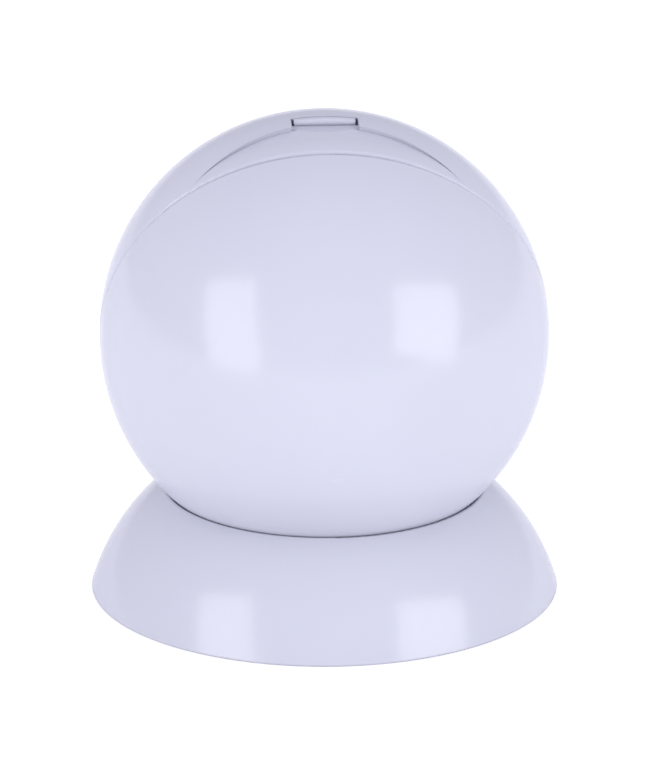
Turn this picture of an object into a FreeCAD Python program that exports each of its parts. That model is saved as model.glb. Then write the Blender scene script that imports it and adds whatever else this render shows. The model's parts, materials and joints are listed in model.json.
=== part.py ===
import FreeCAD, Part
import math
import os

# Ball motion sensor on a magnetic dish base, in millimetres.
#
# The origin is the centre of the base's underside and +Z is up.  The ball holds everything
# but the base.  It is drawn about its own centre, with the lens axis along +Y and the latch
# on top (+Z), and is then tilted so that the lens looks towards +Y and upwards.
# In the ball, "radius" is measured from the lens axis and "y" along it.

Vector = FreeCAD.Vector
ORIGIN = Vector(0, 0, 0)
X = Vector(1, 0, 0)
Y = Vector(0, 1, 0)
Z = Vector(0, 0, 1)

# ---- driving dimensions: ball
BALL_RADIUS = 25.0
BALL_CENTRE_Z = 29.65
LENS_TILT = 20.0                # degrees of the lens axis above the horizontal
SHELL_WALL = 1.6
SHELL_INSIDE = BALL_RADIUS - SHELL_WALL
SEAM_Y = 0.27                   # parting plane between the front housing and the rear cover
SEAM_GAP = 0.08
SEAM_ROUND = 0.42

# ---- front housing: lens opening, finger scoop and latch window
LENS_OPENING = 15.4
LENS_LEDGE_Y = 17.4
LENS_POCKET = 16.8
OPENING_ROUND = 0.4
SCOOP_START = (24.99, 0.7)      # radius and y where the scoop's floor leaves the skin
SCOOP_BEND = (24.87, 2.0)       # it rolls over here
SCOOP_FLOOR = (24.59, 3.3)      # and is straight from here
SCOOP_END = (23.33, 7.8)
SCOOP_WALL_RADIUS = 22.2        # upright cylinder that bounds the scoop
SCOOP_WALL_Y = -15.6
LATCH_HALF_WIDTH = 3.4
LATCH_FACE_Y = 8.0
LATCH_DEPTH = 1.05
LATCH_ROUND = 0.35
LATCH_SLIT = 0.28
LATCH_BACK_GAP = 0.06
LATCH_FRONT_GAP = 0.16
LATCH_POCKET = ((5.2, 24.06), (7.65, 22.95))    # y and z of the pocket's sloping floor

# ---- three-way layout: screws stand at these angles, seen from behind, from +X towards +Z
SCREW_ANGLES = (30, 150, 270)
HOUSING_SCREW_RING = 19.4
BOARD_SCREW_RING = 14.6
SCREW_SHANK = 0.9
SCREW_PILOT = 0.95
SCREW_HEAD = 1.7
SCREW_HEAD_HEIGHT = 1.2

# ---- bayonet between the rear cover and the chassis
BAYONET_ANGLES = (100, 220, 340)
LUG_SPAN = 10
LUG_INSIDE = 21.1
LUG_Y = (1.9, 2.9)
LIP_INSIDE = 21.9
LIP_OUTSIDE = 22.9
LIP_FRONT_Y = 3.2
COVER_RING_Y = (-3.0, -0.3)

# ---- chassis, board and optics
BULKHEAD_Y = (4.6, 5.8)
BULKHEAD_RADIUS = 21.6
BOARD_Y = (9.0, 10.0)
BOARD_RADIUS = 17.3
PIR_CAN_RADIUS = 4.1
PIR_FLANGE_RADIUS = 4.6
PIR_TOP_Y = 14.2
LENS_OUTSIDE = 24.6
LENS_INSIDE = 23.7
LENS_RIM = 15.2
LENS_FLANGE = 16.6
SETUP_AT = (-6.6, -11.6)        # x and z of the set-up switch and its button

# ---- battery, a CR123A lying along X behind the bulkhead
BATTERY_RADIUS = 8.5
BATTERY_Y = -4.6
BATTERY_X = (-16.25, 17.25)
BATTERY_NUB = (3.25, 0.95)
CONTACT_THICKNESS = 0.4
CONTACT_X = (-18.85, 18.25)     # the inner faces of the two contact plates

# ---- keeper dish, on the inside of the rear cover
KEEPER_SHELL = (22.2, 23.1)
KEEPER_HALF_ANGLE = 32.0
KEEPER_TURN = 135.0             # degrees about X from straight up to the dish's middle
STAKE_LEAN = 23.5

# ---- base
BASE_RADIUS = 26.1
BASE_SKIRT_Z = 0.08
SOCKET_RADIUS = 25.1
SOCKET_UNDERSIDE = 26.9
NECK_RADIUS = 17.95
WALL_BULGE = 1.1
NECK_ROUND = 0.2
PLATE_Z = (0.4, 1.4)
PLATE_RADIUS = 23.6
FOOT_RING = (18.5, 22.5)
FOOT_HEIGHT = 0.65
WALL_HOLE_X = 14.0
WALL_HOLE_RADIUS = 2.1
SEAT_SHELL = (25.05, 25.75)
SEAT_ANGLES = (28.5, 33.5)      # degrees from straight down
SEAT_MARGIN = 0.3
CUP_RADIUS = 7.3
CUP_Z = (1.5, 3.05)
CUP_FLOOR = 0.5
MAGNET_RADIUS = 6.5
MAGNET_Z = (2.05, 3.0)
POCKET_WALL = (7.5, 8.6)


def on_circle(radius, height, centre=0.0):
    """The (radius, height) point of a circle about the axis, at the given height."""
    return (math.sqrt(radius ** 2 - (height - centre) ** 2), height)


def arc_to(radius, start, end, centre=0.0):
    """An arc about the axis between two heights: a point on its way, and its end."""
    first = math.acos((start - centre) / radius)
    last = math.acos((end - centre) / radius)
    middle = (first + last) / 2
    return tuple(
        (radius * math.sin(angle), centre + radius * math.cos(angle))
        for angle in (middle, last)
    )


def turned(axis, outline):
    """Solid of revolution about Y or Z.  The outline lists (radius, height) corners, and an
    arc is a pair: a point that it passes through, then its end.  It closes by itself."""

    def spot(corner):
        radius, height = corner
        return Vector(radius, height, 0) if axis == Y else Vector(radius, 0, height)

    start = here = spot(outline[0])
    edges = []
    for item in outline[1:]:
        if isinstance(item[0], tuple):
            middle, end = spot(item[0]), spot(item[1])
            edges.append(Part.Arc(here, middle, end).toShape())
        else:
            end = spot(item)
            edges.append(Part.LineSegment(here, end).toShape())
        here = end
    if (here - start).Length > 1e-6:
        edges.append(Part.LineSegment(here, start).toShape())
    return Part.Face(Part.Wire(edges)).revolve(ORIGIN, axis, 360)


def ring(axis, inside, outside, low, high):
    return turned(axis, [(inside, low), (outside, low), (outside, high), (inside, high)])


def sector(inside, outside, low, high, start, end):
    """Part of a ring about the lens axis, between two angles seen from behind."""
    corners = [
        Vector(inside, low, 0),
        Vector(outside, low, 0),
        Vector(outside, high, 0),
        Vector(inside, high, 0),
    ]
    face = Part.Face(Part.makePolygon(corners + corners[:1]))
    face.rotate(ORIGIN, -Y, start)
    return face.revolve(ORIGIN, -Y, end - start)


def block(x, y, z):
    """A box from three (low, high) pairs."""
    size = [high - low for low, high in (x, y, z)]
    return Part.makeBox(*size, Vector(x[0], y[0], z[0]))


def post(x, z, radius, low, high):
    """A cylinder along the lens axis."""
    return Part.makeCylinder(radius, high - low, Vector(x, low, z), Y)


def around(ring_radius, angles=SCREW_ANGLES):
    """The (x, z) places on a ring about the lens axis."""
    for angle in angles:
        turn = math.radians(angle)
        yield ring_radius * math.cos(turn), ring_radius * math.sin(turn)


def rounded_rim(plane, side):
    """The ball's skin meeting the parting plane with a small round: the corner on the plane,
    the round's middle, and where it joins the skin.  side is +1 where the shell lies at
    greater y than the plane."""
    core = BALL_RADIUS - SEAM_ROUND
    height = plane + side * SEAM_ROUND
    radius = math.sqrt(core ** 2 - height ** 2)
    out = Vector(radius / core, height / core, 0)
    middle = (out + Vector(0, -side, 0)).normalize()
    return (
        (radius, plane),
        (radius + SEAM_ROUND * middle.x, height + SEAM_ROUND * middle.y),
        (radius * BALL_RADIUS / core, height * BALL_RADIUS / core),
    )


def rounded_corner(corner, arriving, leaving, amount):
    """Start, middle and end of the round on an outline's corner, between the two directions
    of travel there, in radians from outwards towards upwards."""
    half_turn = (leaving - arriving) / 2
    reach = amount * math.tan(half_turn)
    start = (corner[0] - reach * math.cos(arriving), corner[1] - reach * math.sin(arriving))
    end = (corner[0] + reach * math.cos(leaving), corner[1] + reach * math.sin(leaving))
    outward = arriving + half_turn - math.pi / 2
    inset = amount / math.cos(half_turn) - amount
    middle = (corner[0] - inset * math.cos(outward), corner[1] - inset * math.sin(outward))
    return start, middle, end


def rounded_edge(solid, radius, height, axis, amount):
    """Round the circular edge of a turned solid at the given radius and height."""
    centre = axis * height
    found = [
        edge
        for edge in solid.Edges
        if not edge.Degenerated
        and isinstance(edge.Curve, Part.Circle)
        and abs(edge.Curve.Radius - radius) < 0.01
        and (edge.Curve.Center - centre).Length < 0.01
    ]
    return solid.makeFillet(amount, found)


def coil(radius, top_radius, low, high, turns, wire):
    """A coil spring about Z, straight-sided or conical.  Each half turn is half a torus in a
    slightly tilted plane, and meets the next one in the plane y = 0 without a kink."""
    halves = 2 * turns
    stops = []
    for i in range(halves + 1):
        part = i / halves
        side = 1 if i % 2 == 0 else -1
        reach = radius + (top_radius - radius) * part
        stops.append(Vector(side * reach, 0, low + (high - low) * part))
    spring = None
    for start, end in zip(stops, stops[1:]):
        section = Part.Face(Part.Wire(Part.makeCircle(wire, start, Y)))
        across = start - end if start.x > end.x else end - start
        half = section.revolve((start + end) / 2, across.cross(Y).normalize(), 180)
        spring = half if spring is None else spring.fuse(half)
    return spring


def screws(ring_radius, head_low, head_high, tip):
    """Three pan-head screws along the lens axis, as separate solids."""
    start = head_high if tip > head_high else head_low
    low, high = min(start, tip), max(start, tip)
    solids = []
    for x, z in around(ring_radius):
        head = post(x, z, SCREW_HEAD, head_low, head_high)
        shank = post(x, z, SCREW_SHANK, low, high)
        outer = head_low if tip > head_high else head_high - 0.5
        slot = block((x - 1.2, x + 1.2), (outer, outer + 0.5), (z - 0.2, z + 0.2))
        cross = block((x - 0.2, x + 0.2), (outer, outer + 0.5), (z - 1.2, z + 1.2))
        solids.append(head.fuse(shank).cut(slot.fuse(cross)))
    return Part.makeCompound([solid.removeSplitter().Solids[0] for solid in solids])


# ---- base

def base_shell():
    """Bell-shaped outer wall with the ball's socket in its top, open underneath."""
    neck_z = BALL_CENTRE_Z - math.sqrt(SOCKET_RADIUS ** 2 - NECK_RADIUS ** 2)
    neck = (NECK_RADIUS, neck_z)
    foot = (BASE_RADIUS, BASE_SKIRT_Z)
    rise, inward = neck[1] - foot[1], foot[0] - neck[0]
    chord = math.hypot(rise, inward)
    bulge = (
        (foot[0] + neck[0]) / 2 + WALL_BULGE * rise / chord,
        (foot[1] + neck[1]) / 2 + WALL_BULGE * inward / chord,
    )
    climb = math.atan2(rise, -inward) + 2 * math.atan(2 * WALL_BULGE / chord)
    into_socket = math.pi + math.asin(NECK_RADIUS / SOCKET_RADIUS)
    lip, lip_top, mouth = rounded_corner(neck, climb, into_socket, NECK_ROUND)
    mouth = on_circle(SOCKET_RADIUS, mouth[1], BALL_CENTRE_Z)
    bottom_z = BALL_CENTRE_Z - SOCKET_RADIUS
    low, high = SEAT_ANGLES[0] - SEAT_MARGIN, SEAT_ANGLES[1] + SEAT_MARGIN
    groove_radius = SEAT_SHELL[1] + 0.05
    above, below = in_socket(SOCKET_RADIUS, high), in_socket(SOCKET_RADIUS, low)
    body = turned(Z, [
        (0, BASE_SKIRT_Z),
        foot,
        (bulge, lip),
        (lip_top, mouth),
        arc_to(SOCKET_RADIUS, mouth[1], above[1], BALL_CENTRE_Z),
        in_socket(groove_radius, high),
        (in_socket(groove_radius, (low + high) / 2), in_socket(groove_radius, low)),
        below,
        arc_to(SOCKET_RADIUS, below[1], bottom_z, BALL_CENTRE_Z),
    ])

    hollow_top = on_circle(SOCKET_UNDERSIDE, 8.94, BALL_CENTRE_Z)
    underside_z = BALL_CENTRE_Z - SOCKET_UNDERSIDE
    hollow = turned(Z, [
        (0, BASE_SKIRT_Z - 1),
        (24.2, BASE_SKIRT_Z - 1),
        (24.2, BASE_SKIRT_Z),
        ((21.9, 5.2), (18.2, 9.0)),
        hollow_top,
        arc_to(SOCKET_UNDERSIDE, hollow_top[1], underside_z, BALL_CENTRE_Z),
    ])
    magnet_room = Part.makeCylinder(POCKET_WALL[0] + 0.2, 3.2, ORIGIN, Z)
    body = body.cut(hollow).cut(magnet_room)

    for turn in (0, 90, 180, 270):
        catch = ring(Z, 22.85, 24.0, 1.9, 2.3).common(
            block((0, 30), (-4, 4), (1, 3)))
        catch.rotate(ORIGIN, Z, turn + 45)
        body = body.fuse(catch)
    return body.removeSplitter()


def in_socket(radius, angle):
    """The (radius, height) point at a distance from the ball's centre, at an angle in degrees
    from straight down."""
    turn = math.radians(angle)
    return (radius * math.sin(turn), BALL_CENTRE_Z - radius * math.cos(turn))


def seat_ring():
    """Soft ring in the socket's groove, which the ball rubs on."""
    low, high = SEAT_ANGLES
    middle = (low + high) / 2
    inner, outer = SEAT_SHELL
    return turned(Z, [
        in_socket(inner, low),
        (in_socket(inner, middle), in_socket(inner, high)),
        in_socket(outer, high),
        (in_socket(outer, middle), in_socket(outer, low)),
    ])


def base_plate():
    """Closes the base: foot-ring groove, two wall-screw holes, magnet pocket, snap rim."""
    low, high = PLATE_Z
    plate = Part.makeCylinder(PLATE_RADIUS, high - low, Vector(0, 0, low), Z)
    plate = plate.fuse(ring(Z, POCKET_WALL[0], POCKET_WALL[1], high, 2.9))
    snap_rim = turned(Z, [
        (21.7, high), (22.4, high), (22.4, 2.5), (23.0, 2.5), (22.5, 3.2), (21.7, 3.2)])
    plate = plate.fuse(snap_rim)
    plate = plate.cut(ring(Z, FOOT_RING[0] - 0.2, FOOT_RING[1] + 0.2, low, low + 0.3))
    for x in (-WALL_HOLE_X, WALL_HOLE_X):
        plate = plate.cut(Part.makeCylinder(WALL_HOLE_RADIUS, 4, Vector(x, 0, 0), Z))
    return plate.removeSplitter()


def foot_ring():
    ring_solid = ring(Z, FOOT_RING[0], FOOT_RING[1], 0, FOOT_HEIGHT)
    ring_solid = rounded_edge(ring_solid, FOOT_RING[1], 0, Z, 0.15)
    return rounded_edge(ring_solid, FOOT_RING[0], 0, Z, 0.15)


def magnet_cup():
    cup = Part.makeCylinder(CUP_RADIUS, CUP_Z[1] - CUP_Z[0], Vector(0, 0, CUP_Z[0]), Z)
    room_z = CUP_Z[0] + CUP_FLOOR
    return cup.cut(Part.makeCylinder(MAGNET_RADIUS + 0.1, 3, Vector(0, 0, room_z), Z))


def magnet():
    disc = Part.makeCylinder(
        MAGNET_RADIUS, MAGNET_Z[1] - MAGNET_Z[0], Vector(0, 0, MAGNET_Z[0]), Z)
    return rounded_edge(disc, MAGNET_RADIUS, MAGNET_Z[1], Z, 0.15)


# ---- ball: shells

def front_housing():
    """Lens-side shell with the lens opening, finger scoop, latch window and screw bosses."""
    flat, middle, skin = rounded_rim(SEAM_Y + SEAM_GAP / 2, 1)
    opening_y = math.sqrt(BALL_RADIUS ** 2 - LENS_OPENING ** 2)
    pocket_y = math.sqrt(SHELL_INSIDE ** 2 - LENS_POCKET ** 2)
    body = turned(Y, [
        flat,
        (middle, skin),
        arc_to(BALL_RADIUS, skin[1], opening_y),
        (LENS_OPENING, LENS_LEDGE_Y),
        (LENS_POCKET, LENS_LEDGE_Y),
        (LENS_POCKET, pocket_y),
        arc_to(SHELL_INSIDE, pocket_y, flat[1]),
    ])
    body = rounded_edge(body, LENS_OPENING, opening_y, Y, OPENING_ROUND)

    inside = Part.makeSphere(BALL_RADIUS - SHELL_WALL / 2)
    for x, z in around(HOUSING_SCREW_RING):
        boss = post(x, z, SCREW_HEAD + 0.1, BULKHEAD_Y[1], 16).common(inside)
        body = body.fuse(boss)
    for x, z in around(HOUSING_SCREW_RING):
        body = body.cut(post(x, z, SCREW_PILOT, BULKHEAD_Y[1] - 1, 10.4))

    body = body.cut(scoop())
    half = LATCH_HALF_WIDTH + LATCH_SLIT
    window_y = (LATCH_FACE_Y - LATCH_FRONT_GAP, LATCH_FACE_Y + LATCH_DEPTH + LATCH_BACK_GAP)
    return body.cut(block((-half, half), window_y, (20, 26))).removeSplitter()


def scoop():
    """Crescent finger scoop: a floor that rolls over at the parting line, then slopes down
    to an upright cylinder, whose wall is the crescent's upper edge.  A small pocket takes
    it deeper in front of the latch."""
    beyond = BALL_RADIUS + 2
    cutter = turned(Y, [
        SCOOP_START,
        (SCOOP_BEND, SCOOP_FLOOR),
        SCOOP_END,
        (beyond, SCOOP_END[1]),
        (beyond, SCOOP_START[1]),
    ])
    wall = Part.makeCylinder(SCOOP_WALL_RADIUS, 30, Vector(0, SCOOP_WALL_Y, 5), Z)
    half = LATCH_HALF_WIDTH + LATCH_SLIT
    (start_y, start_z), (end_y, end_z) = LATCH_POCKET
    corners = [(start_y, start_z), (end_y, end_z), (end_y + 0.5, end_z), (end_y + 0.5, beyond),
               (start_y, beyond)]
    side = [Vector(-half, y, z) for y, z in corners]
    pocket = Part.Face(Part.makePolygon(side + side[:1])).extrude(X * 2 * half)
    return cutter.common(wall).fuse(pocket)


def rear_cover():
    """Battery cover: a dome with a bayonet lip, a groove for the latch hook and two stakes
    that hold the keeper dish."""
    flat, middle, skin = rounded_rim(SEAM_Y - SEAM_GAP / 2, -1)
    shell = turned(Y, [
        flat,
        (middle, skin),
        arc_to(BALL_RADIUS, skin[1], -BALL_RADIUS),
        (0, -SHELL_INSIDE),
        arc_to(SHELL_INSIDE, -SHELL_INSIDE, flat[1]),
    ])
    lip = turned(Y, [
        (LIP_INSIDE, COVER_RING_Y[0]),
        (SHELL_INSIDE + 0.2, COVER_RING_Y[0]),
        (SHELL_INSIDE + 0.2, COVER_RING_Y[1]),
        (LIP_OUTSIDE, COVER_RING_Y[1]),
        (LIP_OUTSIDE, LIP_FRONT_Y),
        (LIP_INSIDE, LIP_FRONT_Y),
    ])
    body = shell.fuse(lip)
    for angle in BAYONET_ANGLES:
        lug = sector(LUG_INSIDE, LIP_INSIDE + 0.3, LUG_Y[0], LUG_Y[1], angle, angle + LUG_SPAN)
        body = body.fuse(lug)
    body = body.cut(sector(LUG_INSIDE, 23.15, -0.9, 1.25, 62, 98))
    for stake in keeper_stakes(0.95, True):
        body = body.fuse(stake)
    return body.removeSplitter()


def keeper_stakes(radius, with_heads):
    """Two radial pegs through the keeper dish, placed on the inside of the rear cover."""
    pegs = []
    for lean in (-STAKE_LEAN, STAKE_LEAN):
        peg = Part.makeCylinder(radius, 2.6, Vector(0, 0, 21.3), Z)
        if with_heads:
            peg = peg.fuse(Part.makeCylinder(1.5, 0.7, Vector(0, 0, 21.3), Z))
        peg.rotate(ORIGIN, Y, lean)
        peg.rotate(ORIGIN, X, KEEPER_TURN)
        pegs.append(peg)
    return pegs


def keeper_plate():
    """Pressed steel dish that the base's magnet pulls on."""
    inner, outer = KEEPER_SHELL
    edge = math.cos(math.radians(KEEPER_HALF_ANGLE))
    dish = turned(Z, [
        (0, inner),
        arc_to(inner, inner, inner * edge),
        on_circle(outer, outer * edge),
        arc_to(outer, outer * edge, outer),
    ])
    dish.rotate(ORIGIN, X, KEEPER_TURN)
    for hole in keeper_stakes(1.05, False):
        dish = dish.cut(hole)
    return dish


# ---- ball: latch and set-up button

def latch_button():
    """Latch tab with its guide flange, and an arm whose hook sits in the cover's groove."""
    skin = Part.makeSphere(BALL_RADIUS - 0.03)
    width = (-LATCH_HALF_WIDTH, LATCH_HALF_WIDTH)
    face = (LATCH_FACE_Y, LATCH_FACE_Y + LATCH_DEPTH)
    tab = block(width, face, (20.2, 26)).common(skin)
    front_edge = [
        edge
        for edge in tab.Edges
        if edge.CenterOfMass.z > 22
        and all(abs(corner.Y - LATCH_FACE_Y) < 0.01 for corner in edge.Vertexes)
    ]
    tab = tab.makeFillet(LATCH_ROUND, front_edge)
    flange = block((-4.4, 4.4), (6.1, 9.9), (19.2, 20.2))
    arm = block((-2.2, 2.2), (-0.6, 6.1), (19.2, 20.2))
    hook = block((-2.2, 2.2), (-0.6, 0.9), (20.2, 22.6))
    return tab.fuse([flange, arm, hook]).removeSplitter()


def latch_spring():
    spring = coil(1.1, 1.1, 15.9, 19.0, 5, 0.18)
    spring.translate(Y * 7.3)
    return spring


def setup_button():
    """Push rod that reaches the set-up switch through the bulkhead."""
    x, z = SETUP_AT
    rod = post(x, z, 1.5, 3.2, 6.2)
    flange = post(x, z, 2.2, 6.15, 6.75)
    nose = post(x, z, 0.8, 6.75, 7.0)
    return rod.fuse([flange, nose]).removeSplitter()


def setup_switch():
    x, z = SETUP_AT
    case = block((x - 2.1, x + 2.1), (7.5, BOARD_Y[0]), (z - 2.1, z + 2.1))
    return case.fuse(post(x, z, 0.8, 7.35, 7.5)).removeSplitter()


# ---- ball: chassis and power

def chassis():
    """Bulkhead with battery cradle, contact walls, board pillars, bayonet tabs and the
    latch spring's shelf."""
    back, front = BULKHEAD_Y
    body = post(0, 0, BULKHEAD_RADIUS, back, front)
    for x in (-9, 9):
        body = body.fuse(block((x - 0.7, x + 0.7), (BATTERY_Y, back), (-10, 10)))
    for x in ((18.75, 19.95), (-20.55, -19.35)):
        body = body.fuse(block(x, (-8.6, back), (-4, 4)))
    for x, z in around(BOARD_SCREW_RING):
        body = body.fuse(post(x, z, 1.9, front, BOARD_Y[0]))
    for angle in BAYONET_ANGLES:
        span = (angle - 2, angle + LUG_SPAN)
        body = body.fuse(sector(19.4, 20.9, 0.6, back, *span))
        body = body.fuse(sector(20.3, 21.7, 0.6, 1.7, *span))
    body = body.fuse(block((-2.4, 2.4), (front, 8.6), (14.9, 15.7)))

    room = Part.makeCylinder(
        BATTERY_RADIUS + 0.2, 40, Vector(-20, BATTERY_Y, 0), X).common(
        block((-18.8, 18.2), (-20, back), (-10, 10)))
    body = body.cut(room)
    for x, z in around(BOARD_SCREW_RING):
        body = body.cut(post(x, z, SCREW_PILOT, 5.2, BOARD_Y[0]))
    for x, z in around(HOUSING_SCREW_RING):
        body = body.cut(post(x, z, 1.1, back, front))
    body = body.cut(block((-2.6, 2.6), (back, front), (17.6, 22)))
    body = body.cut(post(SETUP_AT[0], SETUP_AT[1], 1.7, back, front))
    body = body.cut(block((18.05, 18.85), (back, front), (-1.8, 1.8)))
    body = body.cut(block((-19.45, -18.65), (back, front), (-1.8, 1.8)))
    return body.removeSplitter()


def contact(side):
    """Battery contact: a plate against the end wall and a tail that bends to the board."""
    near = CONTACT_X[1] if side > 0 else -CONTACT_X[0]
    far = near + CONTACT_THICKNESS
    foot_x = 15.8
    pieces = [
        block((near, far), (-8.2, -1.0), (-3.5, 3.5)),
        block((near, far), (-1.0, 7.2), (-1.5, 1.5)),
        block((foot_x, far), (6.8, 7.2), (-1.5, 1.5)),
        block((foot_x, foot_x + CONTACT_THICKNESS), (7.2, 8.95), (-1.5, 1.5)),
    ]
    body = pieces[0].fuse(pieces[1:])
    if side < 0:
        body = body.mirror(ORIGIN, X)
    return body.removeSplitter()


def contact_spring():
    """Conical spring that presses the battery's flat end."""
    spring = coil(3.6, 2.4, 0.33, 2.2, 3, 0.3)
    spring.rotate(ORIGIN, Y, 90)
    spring.translate(Vector(CONTACT_X[0], BATTERY_Y, 0))
    return spring


def battery():
    """Lithium cell: can with a rounded shoulder, a crimp groove and the positive nub."""
    low, high = BATTERY_X
    can = Part.makeCylinder(BATTERY_RADIUS, high - low, Vector(low, 0, 0), X)
    can = rounded_edge(can, BATTERY_RADIUS, high, X, 0.8)
    can = rounded_edge(can, BATTERY_RADIUS, low, X, 0.5)
    groove = Part.makeCylinder(BATTERY_RADIUS + 1, 0.6, Vector(high - 2.0, 0, 0), X)
    groove = groove.cut(
        Part.makeCylinder(BATTERY_RADIUS - 0.3, 0.6, Vector(high - 2.0, 0, 0), X))
    nub_radius, nub_height = BATTERY_NUB
    nub = Part.makeCylinder(nub_radius, nub_height, Vector(high, 0, 0), X)
    cell = can.cut(groove).fuse(nub).removeSplitter()
    cell.translate(Y * BATTERY_Y)
    return cell


# ---- ball: board and optics

def pcb():
    board = post(0, 0, BOARD_RADIUS, BOARD_Y[0], BOARD_Y[1])
    for x, z in around(BOARD_SCREW_RING):
        board = board.cut(post(x, z, 1.1, BOARD_Y[0], BOARD_Y[1]))
    return board


def on_board(x, z, width, depth, height, front=True):
    """A component's block on the front or the rear face of the board."""
    y = (BOARD_Y[1], BOARD_Y[1] + height) if front else (BOARD_Y[0] - height, BOARD_Y[0])
    return block((x - width / 2, x + width / 2), y, (z - depth / 2, z + depth / 2))


def pcb_components():
    """Processor, accelerometer, regulator and small parts, as separate solids."""
    chips = [
        on_board(13.2, 0, 5.0, 5.0, 0.9),
        on_board(-13.4, -1.5, 4.0, 4.0, 1.0),
        on_board(-12.9, 3.6, 2.9, 1.6, 1.1),
        on_board(9.4, 0, 4.0, 4.9, 1.5, False),
        on_board(-11.0, 1.0, 3.0, 3.0, 1.0, False),
        on_board(6.6, -11.4, 3.5, 2.8, 1.9, False),
    ]
    for x, z in around(13.0, (225, 240, 300, 315)):
        chips.append(on_board(x, z, 1.6, 0.9, 0.8))
    return Part.makeCompound(chips)


def radio_module():
    """Shielded radio under its pressed can, on the board's rear face."""
    can = on_board(-1.0, -1.5, 13.0, 11.0, 2.0, False)
    upright = [edge for edge in can.Edges if abs(edge.tangentAt(edge.FirstParameter).y) > 0.9]
    return can.makeFillet(0.8, upright)


def antenna():
    """Bent wire that stands off the board and follows its edge."""
    radius, wire, height = 16.6, 0.4, 12.2
    section = Part.Wire(Part.makeCircle(wire, Vector(radius, height, 0), Z))
    arc = Part.Face(section)
    arc.rotate(ORIGIN, -Y, 45)
    loop = arc.revolve(ORIGIN, -Y, 90)
    x, z = next(around(radius, (45,)))
    return loop.fuse(post(x, z, wire, BOARD_Y[1], height)).removeSplitter()


def pir_can():
    """Pyroelectric detector: flanged metal can with a recess for its filter window."""
    can = post(0, 0, PIR_CAN_RADIUS, BOARD_Y[1], PIR_TOP_Y)
    can = rounded_edge(can, PIR_CAN_RADIUS, PIR_TOP_Y, Y, 0.4)
    can = can.fuse(post(0, 0, PIR_FLANGE_RADIUS, BOARD_Y[1], BOARD_Y[1] + 0.6))
    recess = block((-2.0, 2.0), (PIR_TOP_Y - 0.5, PIR_TOP_Y), (-1.5, 1.5))
    return can.cut(recess).removeSplitter()


def pir_window():
    return block((-1.9, 1.9), (PIR_TOP_Y - 0.45, PIR_TOP_Y - 0.1), (-1.4, 1.4))


def status_led():
    return on_board(6.4, 0, 1.0, 1.6, 0.7)


def light_sensor():
    return on_board(-6.3, 0, 1.4, 2.0, 0.8)


def lens():
    """Dome lens with a skirt and a flange that sits under the housing's ledge."""
    rim_y = math.sqrt(LENS_OUTSIDE ** 2 - LENS_RIM ** 2)
    skirt_inside = LENS_RIM - 0.9
    inner_y = math.sqrt(LENS_INSIDE ** 2 - skirt_inside ** 2)
    return turned(Y, [
        (0, LENS_INSIDE),
        (0, LENS_OUTSIDE),
        arc_to(LENS_OUTSIDE, LENS_OUTSIDE, rim_y),
        (LENS_RIM, 17.3),
        (LENS_FLANGE, 17.3),
        (LENS_FLANGE, 16.45),
        (skirt_inside, 16.45),
        (skirt_inside, inner_y),
        arc_to(LENS_INSIDE, inner_y, LENS_INSIDE),
    ])


def lens_shroud():
    """Funnel between the detector and the lens: it holds the lens flange against its ledge
    and keeps stray light off the detector."""
    return turned(Y, [
        (8.0, 10.2), (9.2, 10.2), (15.6, 15.3), (16.6, 15.3), (16.6, 16.35), (14.4, 16.35),
        (14.4, 15.3)])


def pcb_screws():
    return screws(BOARD_SCREW_RING, BOARD_Y[1], BOARD_Y[1] + SCREW_HEAD_HEIGHT, 5.4)


def chassis_screws():
    return screws(
        HOUSING_SCREW_RING, BULKHEAD_Y[0] - SCREW_HEAD_HEIGHT, BULKHEAD_Y[0], 10.2)


BASE_PIECES = [base_shell, base_plate, foot_ring, seat_ring, magnet_cup, magnet]
BALL_PIECES = [
    front_housing, rear_cover, keeper_plate, latch_button, latch_spring, setup_button,
    setup_switch, chassis, contact_spring, battery, pcb, pcb_components, radio_module,
    antenna, pir_can, pir_window, status_led, light_sensor, lens, lens_shroud, pcb_screws,
    chassis_screws,
]


def save(name, shape):
    for solid in shape.Solids:
        if not solid.isValid() or solid.Volume <= 0:
            raise ValueError(f"{name} has a solid that isn't sound")
    shape.exportStep(f"parts/{name}.step")
    print(f"{name}: {len(shape.Solids)} solid(s), {shape.Volume:.1f} mm3")


def main():
    os.makedirs("parts", exist_ok=True)
    pieces = {make.__name__: make() for make in BASE_PIECES}
    ball = {make.__name__: make() for make in BALL_PIECES}
    ball["contact_positive"] = contact(1)
    ball["contact_negative"] = contact(-1)
    for shape in ball.values():
        shape.rotate(ORIGIN, X, LENS_TILT)
        shape.translate(Z * BALL_CENTRE_Z)
    pieces.update(ball)
    for name, shape in pieces.items():
        save(name, shape)


main()
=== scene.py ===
"""Ball motion sensor on its dish base: looks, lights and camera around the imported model."""

import json
import math

import bmesh
import bpy
from mathutils import Matrix, Vector


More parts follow.
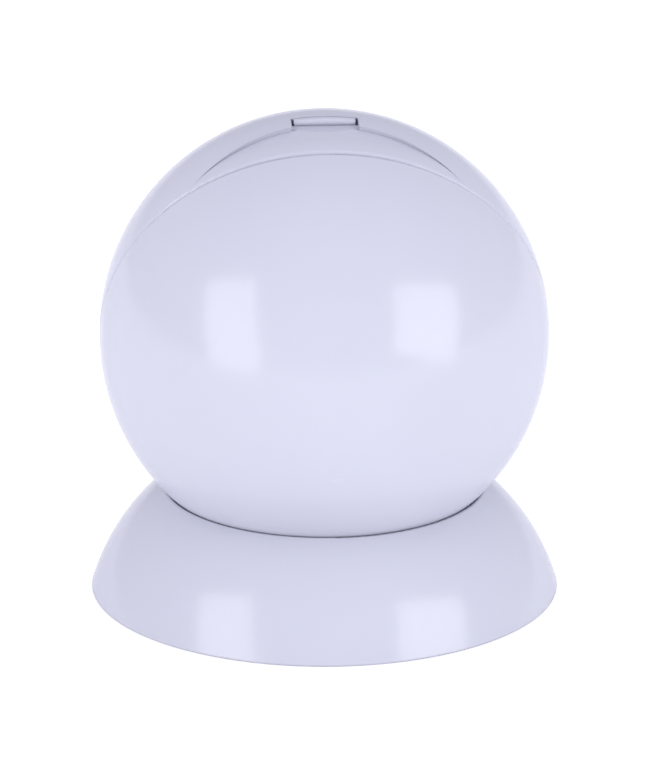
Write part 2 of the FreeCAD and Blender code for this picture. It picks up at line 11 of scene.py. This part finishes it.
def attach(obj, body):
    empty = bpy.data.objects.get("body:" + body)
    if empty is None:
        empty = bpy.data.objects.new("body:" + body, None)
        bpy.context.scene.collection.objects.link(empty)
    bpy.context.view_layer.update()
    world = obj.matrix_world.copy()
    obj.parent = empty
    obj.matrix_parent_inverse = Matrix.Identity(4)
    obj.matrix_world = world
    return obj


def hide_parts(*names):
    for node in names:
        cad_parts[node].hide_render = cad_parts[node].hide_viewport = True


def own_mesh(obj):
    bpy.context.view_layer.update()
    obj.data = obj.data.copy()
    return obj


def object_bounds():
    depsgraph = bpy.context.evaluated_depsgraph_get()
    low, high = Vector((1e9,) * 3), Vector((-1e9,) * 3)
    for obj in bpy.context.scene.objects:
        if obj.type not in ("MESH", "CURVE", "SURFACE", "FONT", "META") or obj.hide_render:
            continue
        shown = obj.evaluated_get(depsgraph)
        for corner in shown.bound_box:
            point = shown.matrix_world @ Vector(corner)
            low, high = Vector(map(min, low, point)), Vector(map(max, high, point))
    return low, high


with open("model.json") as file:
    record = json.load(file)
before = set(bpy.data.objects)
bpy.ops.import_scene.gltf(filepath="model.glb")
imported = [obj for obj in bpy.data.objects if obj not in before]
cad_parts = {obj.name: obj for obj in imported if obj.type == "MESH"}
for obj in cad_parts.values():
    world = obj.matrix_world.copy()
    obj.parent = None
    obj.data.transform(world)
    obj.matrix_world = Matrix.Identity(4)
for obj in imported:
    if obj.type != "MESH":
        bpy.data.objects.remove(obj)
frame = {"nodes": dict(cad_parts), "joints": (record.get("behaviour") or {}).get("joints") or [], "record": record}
cad_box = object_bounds()

# ---- places and sizes, in metres
JOINTS = {joint["name"]: joint for joint in frame["joints"]}
BALL_CENTRE = Vector(JOINTS["ball_pan"]["pos_m"])
LENS_AXIS = -Vector(JOINTS["cover_twist"]["axis"]).normalized()
SIDE_AXIS = Vector((1, 0, 0))
BALL_UP = SIDE_AXIS.cross(LENS_AXIS).normalized()
MM = 0.001
BALL_RADIUS = 25 * MM

# From ball coordinates, with the lens along +Y and the latch on top, to the row's frame.
BALL_TO_ROW = Matrix.Translation(BALL_CENTRE) @ Matrix(
    (SIDE_AXIS, LENS_AXIS, BALL_UP)).transposed().to_4x4()

# ---- camera
CAMERA_AZIMUTH = math.radians(-3)
CAMERA_ELEVATION = math.radians(19.3)
CAMERA_DISTANCE = 0.845
BALL_IN_VIEW = 0.29083      # the ball's radius as a share of the height of the view
AIM_BELOW_BALL = 6.02 * MM
AIM_LEFT_OF_BALL = 0.22 * MM

# ---- light and colour
HORIZON = (0.58, 0.58, 0.59)
ZENITH = (1.0, 1.0, 1.12)
ABS_WHITE = (0.496, 0.503, 0.589)
SOFT_EDGE = 0.3 * MM        # how far moulded edges are rounded in the shading
FLOOR_WHITE = (0.9, 0.9, 0.905)
FLOOR_HALF = 3.0
# How strongly the floor glows, by the distance from its middle as a share of FLOOR_HALF.
FLOOR_GLOW = ((0.0, 0.21), (0.02, 0.3), (0.05, 0.34), (0.2, 0.41), (0.5, 0.56))

# ---- lens, in millimetres about the ball's centre
LENS_OUTSIDE, LENS_INSIDE = 24.6, 23.7
LENS_RIM, LENS_FLANGE, LENS_SKIRT = 15.2, 16.6, 14.3
LENS_LEDGE_Y, LENS_BACK_Y = 17.3, 16.45
# Rings of Fresnel cells: the degrees off the axis where each starts and ends, and its cells.
LENS_CELLS = ((0, 6, 1), (6, 15.5, 6), (15.5, 25.5, 12), (25.5, 35.5, 18))
GROOVE_DEPTH, GROOVE_WIDTH = 0.16, 0.7      # between the cells: millimetres, degrees
LENS_SEGMENTS, DOME_RINGS, INNER_RINGS = 360, 96, 24


def link_object(name, data):
    """A new object in the scene."""
    made = bpy.data.objects.new(name, data)
    bpy.context.scene.collection.objects.link(made)
    return made


def view_axes():
    """Right, up and towards-the-camera directions of the main view."""
    back = Vector((
        math.sin(CAMERA_AZIMUTH) * math.cos(CAMERA_ELEVATION),
        -math.cos(CAMERA_AZIMUTH) * math.cos(CAMERA_ELEVATION),
        math.sin(CAMERA_ELEVATION)))
    right = Vector((0, 0, 1)).cross(back).normalized()
    return right, back.cross(right).normalized(), back


RIGHT, UP, BACK = view_axes()


def turned_to(back, up, place):
    """Matrix of a camera or light at a place, looking along -back."""
    right = up.cross(back).normalized()
    top = back.cross(right).normalized()
    return Matrix.Translation(place) @ Matrix((right, top, back)).transposed().to_4x4()


def add_camera():
    data = bpy.data.cameras.new("camera")
    camera = link_object("camera", data)
    aim = BALL_CENTRE - UP * AIM_BELOW_BALL - RIGHT * AIM_LEFT_OF_BALL
    camera.matrix_world = turned_to(BACK, UP, aim + BACK * CAMERA_DISTANCE)
    ball_angle = math.asin(BALL_RADIUS / CAMERA_DISTANCE)
    half_height = math.tan(ball_angle) / BALL_IN_VIEW / 2
    data.sensor_fit = "VERTICAL"
    data.sensor_height = 24
    data.lens = data.sensor_height / 2 / half_height
    data.clip_start = 0.01
    data.clip_end = 20
    bpy.context.scene.camera = camera


def add_softbox(name, direction, width, height, radiance, roll=0.0, distance=0.6):
    """A soft area light.  The ball sees it in a direction given in view axes, and its width,
    height and roll are in degrees."""
    data = bpy.data.lights.new(name, "AREA")
    data.shape = "RECTANGLE"
    data.size = 2 * distance * math.tan(math.radians(width / 2))
    data.size_y = 2 * distance * math.tan(math.radians(height / 2))
    data.energy = radiance * math.pi * data.size * data.size_y
    light = link_object(name, data)
    away = (RIGHT * direction[0] + UP * direction[1] + BACK * direction[2]).normalized()
    up = Matrix.Rotation(math.radians(roll), 3, away) @ UP
    light.matrix_world = turned_to(away, up, BALL_CENTRE + away * distance)


def add_world():
    """Soft light from all round, from the horizon up to the zenith."""
    world = bpy.data.worlds.new("studio")
    bpy.context.scene.world = world
    world.use_nodes = True
    nodes, links = world.node_tree.nodes, world.node_tree.links
    nodes.clear()
    out = nodes.new("ShaderNodeOutputWorld")
    background = nodes.new("ShaderNodeBackground")
    place = nodes.new("ShaderNodeTexCoord")
    split = nodes.new("ShaderNodeSeparateXYZ")
    ramp = nodes.new("ShaderNodeValToRGB")
    links.new(place.outputs["Generated"], split.inputs[0])
    links.new(split.outputs["Z"], ramp.inputs[0])
    ramp.color_ramp.elements[0].color = (*HORIZON, 1)
    ramp.color_ramp.elements[1].color = (*ZENITH, 1)
    links.new(ramp.outputs[0], background.inputs["Color"])
    links.new(background.outputs[0], out.inputs[0])


# ---- materials

class Shader:
    """A Principled material with short-hand for the nodes used here."""

    def __init__(self, name, color, roughness, metallic=0.0, **uniform):
        self.material = bpy.data.materials.new(name)
        self.material.use_nodes = True
        self.tree = self.material.node_tree
        self.surface = self.tree.nodes["Principled BSDF"]
        self.set(**{"Base Color": (*color, 1), "Roughness": roughness, "Metallic": metallic})
        self.set(**uniform)
        self.coords = self.node("ShaderNodeTexCoord").outputs["Object"]

    def set(self, **values):
        """Set sockets of the surface, with underscores for the spaces in their names."""
        for key, value in values.items():
            self.surface.inputs[key.replace("_", " ")].default_value = value

    def node(self, kind, **settings):
        made = self.tree.nodes.new(kind)
        for key, value in settings.items():
            setattr(made, key, value)
        return made

    def link(self, source, target):
        self.tree.links.new(source, target)

    def noise(self, scale, detail=3.0, roughness=0.5, coords=None):
        made = self.node("ShaderNodeTexNoise")
        made.inputs["Scale"].default_value = scale
        made.inputs["Detail"].default_value = detail
        made.inputs["Roughness"].default_value = roughness
        self.link(coords or self.coords, made.inputs["Vector"])
        return made.outputs["Fac"]

    def ramp(self, fac, stops):
        """Colours or single values at places between 0 and 1."""
        made = self.node("ShaderNodeValToRGB")
        ramp = made.color_ramp
        while len(ramp.elements) < len(stops):
            ramp.elements.new(0.5)
        for element, (place, color) in zip(ramp.elements, stops):
            element.position = place
            element.color = (*color, 1) if isinstance(color, tuple) else (color,) * 3 + (1,)
        self.link(fac, made.inputs[0])
        return made.outputs[0]

    def mottle(self, color, spread, scale):
        """Base colour that drifts a little either way."""
        low = tuple(c * (1 - spread) for c in color)
        high = tuple(min(1.0, c * (1 + spread)) for c in color)
        self.link(self.ramp(self.noise(scale), [(0.3, low), (0.7, high)]),
                  self.surface.inputs["Base Color"])

    def mapped(self, scale=(1, 1, 1), rotation=(0, 0, 0)):
        """The piece's coordinates, scaled and turned."""
        made = self.node("ShaderNodeMapping")
        made.inputs["Scale"].default_value = scale
        made.inputs["Rotation"].default_value = rotation
        self.link(self.coords, made.inputs["Vector"])
        return made.outputs[0]

    def along_piece(self, axis):
        """0 to 1 from one end of the piece's own box to the other."""
        made = self.node("ShaderNodeSeparateXYZ")
        place = self.node("ShaderNodeTexCoord")
        self.link(place.outputs["Generated"], made.inputs[0])
        return made.outputs[axis]

    def pits(self, scale):
        made = self.node("ShaderNodeTexVoronoi", feature="SMOOTH_F1")
        made.inputs["Scale"].default_value = scale
        self.link(self.coords, made.inputs["Vector"])
        return made.outputs["Distance"]

    def rough(self, low, high, scale, detail=4.0, coords=None):
        fac = self.noise(scale, detail, coords=coords)
        self.link(self.ramp(fac, [(0.35, low), (0.65, high)]),
                  self.surface.inputs["Roughness"])

    def bump(self, height, strength, distance, soft_edge=0.0):
        """Fine relief, over edges that are rounded in the shading when soft_edge is given."""
        made = self.node("ShaderNodeBump")
        made.inputs["Strength"].default_value = strength
        made.inputs["Distance"].default_value = distance
        self.link(height, made.inputs["Height"])
        if soft_edge:
            edge = self.node("ShaderNodeBevel", samples=6)
            edge.inputs["Radius"].default_value = soft_edge
            self.link(edge.outputs[0], made.inputs["Normal"])
        self.link(made.outputs[0], self.surface.inputs["Normal"])


def white_abs():
    """Gloss moulded ABS, a cool white, with a trace of mould texture."""
    shader = Shader("white_abs", ABS_WHITE, 0.2, IOR=1.46)
    facing = shader.node("ShaderNodeLayerWeight")
    facing.inputs["Blend"].default_value = 0.5
    shader.link(shader.ramp(facing.outputs["Facing"], [(0.35, 0.5), (0.75, 0.04)]),
                shader.surface.inputs["Specular IOR Level"])
    shader.mottle(ABS_WHITE, 0.012, 60)
    shader.rough(0.15, 0.21, 900)
    shader.bump(shader.noise(1400, 2), 0.06, 0.00002, soft_edge=SOFT_EDGE)
    return shader.material


def scratched_metal(name, color, roughness, grain, stretch=(1, 1, 1), bump=0.12):
    """Plated metal whose fine grain is drawn out along one axis of the piece."""
    shader = Shader(name, color, roughness, 1.0)
    shader.mottle(color, 0.07, 500)
    stretched = shader.mapped(scale=stretch)
    shader.rough(roughness * 0.75, roughness * 1.3, grain, coords=stretched)
    shader.bump(shader.noise(grain * 2, 2, coords=stretched), bump, 0.00003)
    return shader.material


def moulded(name, color, roughness, texture, depth, spread=0.04, **uniform):
    """Spark-textured plastic: pits of one size over a broader drift of colour."""
    shader = Shader(name, color, roughness, **uniform)
    shader.mottle(color, spread, 160)
    pits = shader.pits(texture)
    shader.link(shader.ramp(pits, [(0.0, roughness * 1.2), (0.7, roughness * 0.85)]),
                shader.surface.inputs["Roughness"])
    shader.bump(pits, 0.25, depth)
    return shader.material


def lens_poly():
    """Milky polyethylene, faintly see-through, with haze that varies a little."""
    color = (0.66, 0.67, 0.74)
    shader = Shader("lens_plastic", color, 0.3, IOR=1.5)
    shader.set(Subsurface_Weight=0.25, Subsurface_Scale=0.0012)
    shader.set(Subsurface_Radius=(1.0, 0.9, 0.8))
    shader.mottle(color, 0.015, 90)
    shader.rough(0.29, 0.33, 2500)
    shader.bump(shader.noise(3000, 2), 0.05, 0.00001)
    return shader.material


def solder_mask():
    """Board: green mask over copper tracks, a little raised where they run."""
    shader = Shader("board", (0.01, 0.12, 0.05), 0.35, IOR=1.5)
    tracks = shader.node("ShaderNodeTexBrick", offset=0.35, squash=0.6, squash_frequency=3)
    into_board = -math.pi / 2 - math.atan2(LENS_AXIS.z, LENS_AXIS.y)
    shader.link(shader.mapped(rotation=(into_board, 0, 0)), tracks.inputs["Vector"])
    tracks.inputs["Color1"].default_value = (0.008, 0.1, 0.04, 1)
    tracks.inputs["Color2"].default_value = (0.012, 0.13, 0.055, 1)
    tracks.inputs["Mortar"].default_value = (0.03, 0.24, 0.1, 1)
    tracks.inputs["Scale"].default_value = 700
    tracks.inputs["Mortar Size"].default_value = 0.05
    shader.link(tracks.outputs["Color"], shader.surface.inputs["Base Color"])
    shader.rough(0.28, 0.42, 1200)
    shader.bump(tracks.outputs["Fac"], 0.4, 0.00003)
    return shader.material


def cell_sleeve():
    """Cell: a dark printed sleeve with a pale band, bare steel at both ends."""
    shader = Shader("battery_can", (0.05, 0.07, 0.28), 0.3)
    along = shader.along_piece("X")
    steel, dark, pale = (0.62, 0.62, 0.6), (0.03, 0.045, 0.2), (0.68, 0.69, 0.72)
    bands = shader.ramp(along, [
        (0.0, steel), (0.035, dark), (0.62, pale), (0.7, dark), (0.955, steel)])
    shader.link(bands, shader.surface.inputs["Base Color"])
    bare = shader.ramp(along, [(0.0, 1.0), (0.035, 0.0), (0.955, 1.0)])
    for ramp in (bands, bare):
        ramp.node.color_ramp.interpolation = "CONSTANT"
    shader.link(bare, shader.surface.inputs["Metallic"])
    shader.rough(0.24, 0.36, 700)
    shader.bump(shader.noise(2500, 2), 0.08, 0.00002)
    return shader.material


MATERIALS = {
    "white_shell": white_abs(),
    "grey_plastic": moulded("grey_plastic", (0.5, 0.51, 0.56), 0.5, 4000, 0.00004),
    "soft_grey": moulded("soft_grey", (0.1, 0.1, 0.11), 0.75, 2500, 0.00003),
    "soft_white": moulded("soft_white", (0.52, 0.52, 0.6), 0.7, 2500, 0.00003),
    "zinc_steel": scratched_metal("zinc_steel", (0.55, 0.56, 0.58), 0.34, 900, (1, 1, 6)),
    "nickel": scratched_metal("nickel", (0.72, 0.7, 0.66), 0.22, 1500, (1, 6, 1), 0.06),
    "lens_plastic": lens_poly(),
    "black_plastic": moulded("black_plastic", (0.02, 0.02, 0.024), 0.5, 3500, 0.00004),
    "screw_steel": scratched_metal("screw_steel", (0.5, 0.5, 0.52), 0.3, 2500, (1, 1, 1), 0.1),
    "board": solder_mask(),
    "chip_black": moulded("chip_black", (0.015, 0.015, 0.017), 0.6, 6000, 0.00002),
    "tinned_can": scratched_metal("tinned_can", (0.7, 0.7, 0.68), 0.3, 1200, (8, 1, 1)),
    "copper_wire": scratched_metal("copper_wire", (0.72, 0.38, 0.16), 0.3, 2500, (8, 1, 1), 0.05),
    "filter_glass": moulded("filter_glass", (0.03, 0.02, 0.04), 0.12, 1500, 0.000005),
    "led_body": moulded("led_body", (0.85, 0.8, 0.55), 0.25, 2500, 0.00001),
    "spring_nickel": scratched_metal("spring_nickel", (0.7, 0.69, 0.66), 0.25, 2500, (1, 1, 4)),
    "battery_can": cell_sleeve(),
    "button_grey": moulded("button_grey", (0.2, 0.22, 0.25), 0.35, 3000, 0.00002),
}


def paint_cad():
    slots = {part["node"]: part["material_slot"] for part in frame["record"]["subparts"]}
    for name, piece in frame["nodes"].items():
        piece.data.materials.clear()
        piece.data.materials.append(MATERIALS[slots[name]])


def groove(polar, turn):
    """How far the lens skin is let in, between its Fresnel cells.  Both angles are degrees:
    from the lens axis, and around it."""
    for ring, (low, high, count) in enumerate(LENS_CELLS):
        if low <= polar <= high:
            from_edge = min(polar - low, high - polar) if low else high - polar
            if count > 1:
                share = (turn * count / 360 + ring / 2) % 1
                sideways = min(share, 1 - share) * 360 / count
                from_edge = min(from_edge, sideways * math.sin(math.radians(polar)))
            return GROOVE_DEPTH * math.exp(-(from_edge / GROOVE_WIDTH) ** 2)
    return GROOVE_DEPTH * math.exp(-((polar - LENS_CELLS[-1][1]) / GROOVE_WIDTH) ** 2)


def lens_rings():
    """The lens as rings about its axis, from the front round the flange to the inside.  Each
    ring lists a (radius, distance along the axis) for every segment."""
    rim_angle = math.degrees(math.asin(LENS_RIM / LENS_OUTSIDE))
    skirt_angle = math.asin(LENS_SKIRT / LENS_INSIDE)
    rings = []
    for step in range(1, DOME_RINGS + 1):
        polar = rim_angle * step / DOME_RINGS
        ring = []
        for segment in range(LENS_SEGMENTS):
            radius = LENS_OUTSIDE - groove(polar, 360 * segment / LENS_SEGMENTS)
            ring.append((radius * math.sin(math.radians(polar)),
                         radius * math.cos(math.radians(polar))))
        rings.append(ring)

    corners = [
        (LENS_RIM, LENS_LEDGE_Y),
        (LENS_FLANGE, LENS_LEDGE_Y),
        (LENS_FLANGE, LENS_BACK_Y),
        (LENS_SKIRT, LENS_BACK_Y),
    ]
    for step in range(INNER_RINGS, 0, -1):
        polar = skirt_angle * step / INNER_RINGS
        corners.append((LENS_INSIDE * math.sin(polar), LENS_INSIDE * math.cos(polar)))
    return rings + [[corner] * LENS_SEGMENTS for corner in corners]


def closed_skin(rings, first_pole, last_pole):
    """Points and faces of a closed skin through the rings, with a pole at either end."""
    count = len(rings[0])
    points = [Vector((0, first_pole, 0))]
    for ring in rings:
        for segment, (radius, along) in enumerate(ring):
            turn = 2 * math.pi * segment / count
            points.append(Vector((radius * math.cos(turn), along, radius * math.sin(turn))))
    points.append(Vector((0, last_pole, 0)))

    faces = []
    last_ring = 1 + (len(rings) - 1) * count
    for segment in range(count):
        after = (segment + 1) % count
        faces.append((0, 1 + after, 1 + segment))
        for here in range(1, last_ring, count):
            beyond = here + count
            faces.append((here + segment, here + after, beyond + after, beyond + segment))
        faces.append((last_ring + segment, last_ring + after, len(points) - 1))
    return points, faces


def add_lens():
    """The lens with its cells, a closed skin in the place of the plain one."""
    points, faces = closed_skin(lens_rings(), LENS_OUTSIDE, LENS_INSIDE)
    mesh = bpy.data.meshes.new("lens_cells")
    mesh.from_pydata([BALL_TO_ROW @ (point * MM) for point in points], [], faces)
    shape = bmesh.new()
    shape.from_mesh(mesh)
    bmesh.ops.recalc_face_normals(shape, faces=shape.faces)
    shape.to_mesh(mesh)
    shape.free()
    mesh.shade_smooth()
    mesh.set_sharp_from_angle(angle=math.radians(40))
    mesh.materials.append(MATERIALS["lens_plastic"])
    piece = link_object("lens_cells", mesh)
    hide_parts("lens")
    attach(piece, "head")


def add_latch_spring():
    """The latch's coil spring, as a copy with a mesh of its own, carried with the head."""
    cad = frame["nodes"]["latch_spring"]
    spring = link_object("latch_coil", cad.data.copy())
    spring.matrix_world = cad.matrix_world
    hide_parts("latch_spring")
    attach(spring, "head")
    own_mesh(spring)


def add_floor():
    """A light table: white, and lit from below as well, less so around the sensor."""
    mesh = bpy.data.meshes.new("floor")
    half, low = FLOOR_HALF, cad_box[0][2]
    corners = [(-half, -half, low), (half, -half, low), (half, half, low), (-half, half, low)]
    mesh.from_pydata(corners, [], [(0, 1, 2, 3)])
    floor = link_object("floor", mesh)
    shader = Shader("floor_paper", FLOOR_WHITE, 0.85)
    shader.mottle(FLOOR_WHITE, 0.004, 30)
    shader.set(Emission_Color=(1, 1, 1, 1))
    far = shader.node("ShaderNodeVectorMath", operation="LENGTH")
    shader.link(shader.mapped(scale=(1 / half,) * 3), far.inputs[0])
    shader.link(shader.ramp(far.outputs["Value"], FLOOR_GLOW),
                shader.surface.inputs["Emission Strength"])
    mesh.materials.append(shader.material)


add_camera()
add_softbox("softbox_left", (-0.743, 0.047, 0.667), width=28, height=43, radiance=3.35, roll=8)
add_softbox("softbox_right", (0.798, 0.086, 0.597), width=35, height=33, radiance=3.55, roll=-4)
add_world()
add_floor()
paint_cad()
add_lens()
add_latch_spring()
bpy.context.scene.view_settings.view_transform = "Standard"
